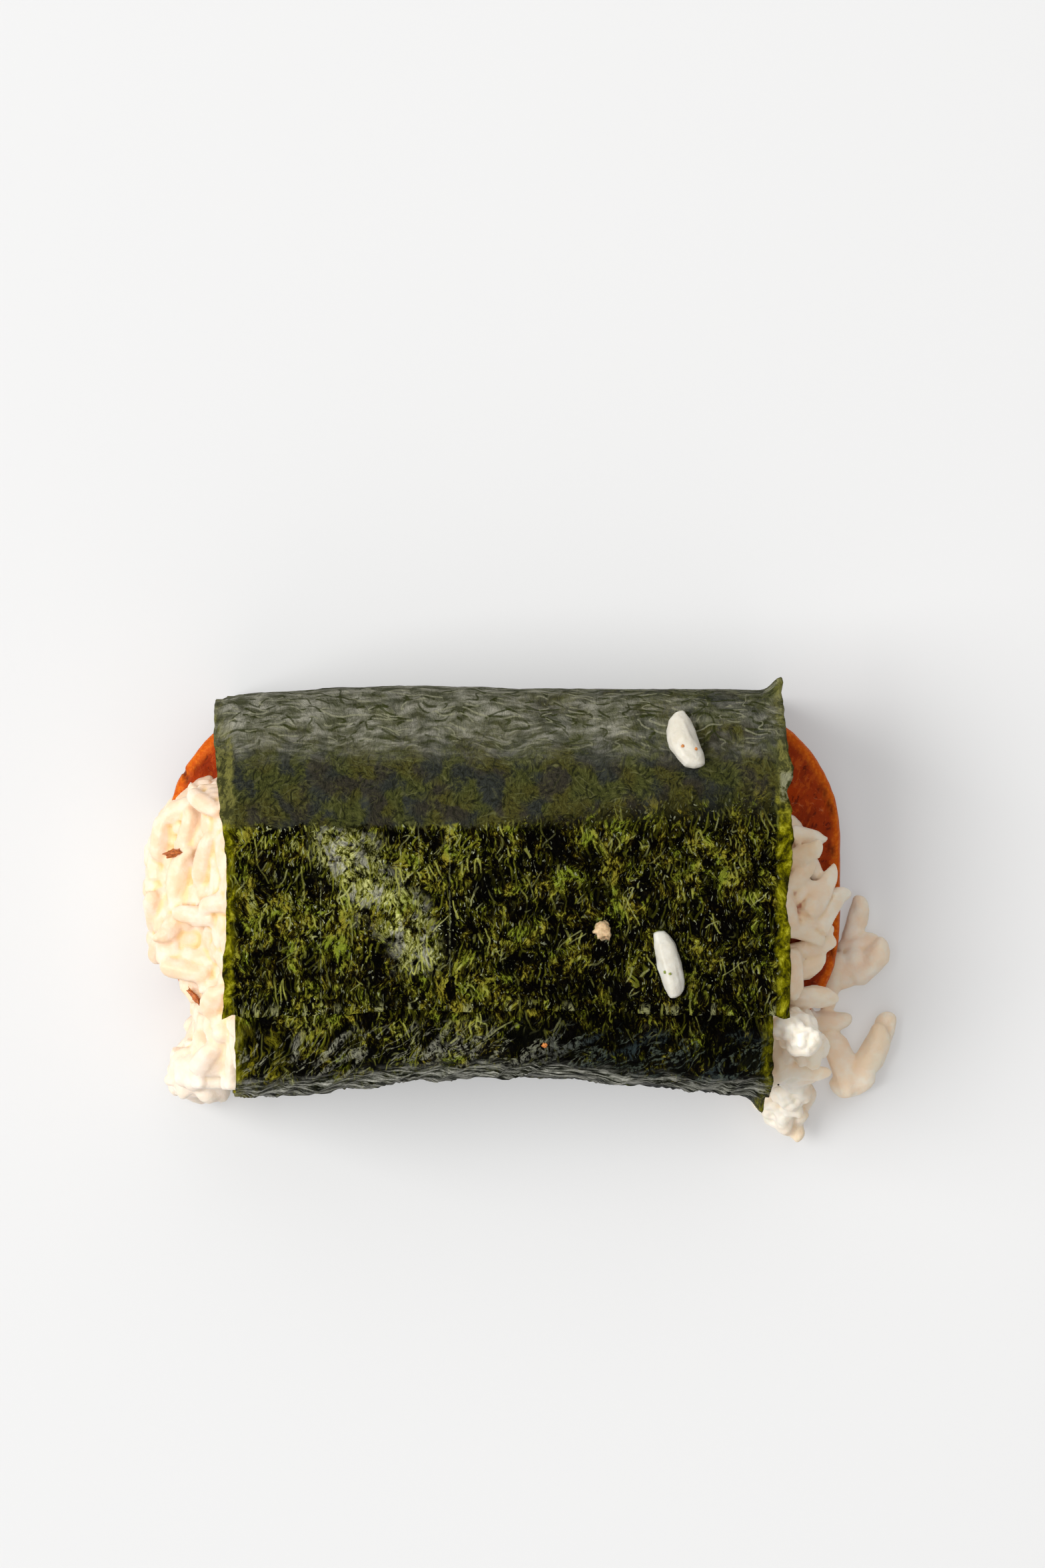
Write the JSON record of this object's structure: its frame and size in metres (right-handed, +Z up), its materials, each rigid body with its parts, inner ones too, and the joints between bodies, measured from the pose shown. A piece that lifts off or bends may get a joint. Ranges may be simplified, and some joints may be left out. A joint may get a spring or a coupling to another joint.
{
  "type": "luncheon meat musubi",
  "caption": "Pressed rice block on a rounded slice of luncheon meat, wound in a strip of nori lapped on top, with rice crumbling from both ends.",
  "frame": {"origin": "on the resting surface, under the middle of the whole", "axes": "+X along the slice of luncheon meat, +Z up, and the nori's outer end on top points to -Y"},
  "size_m": [0.107, 0.0656, 0.0372],
  "materials": {
    "luncheon_meat": "moist browned cut face",
    "cooked_rice": "moist satin",
    "nori": "damp and glossy, hazy at the far side"
  },
  "bodies": {
    "root": {"luncheon_meat": "luncheon_meat", "rice_block": "cooked_rice", "nori_wrap": "nori"}
  },
  "joints": []
}
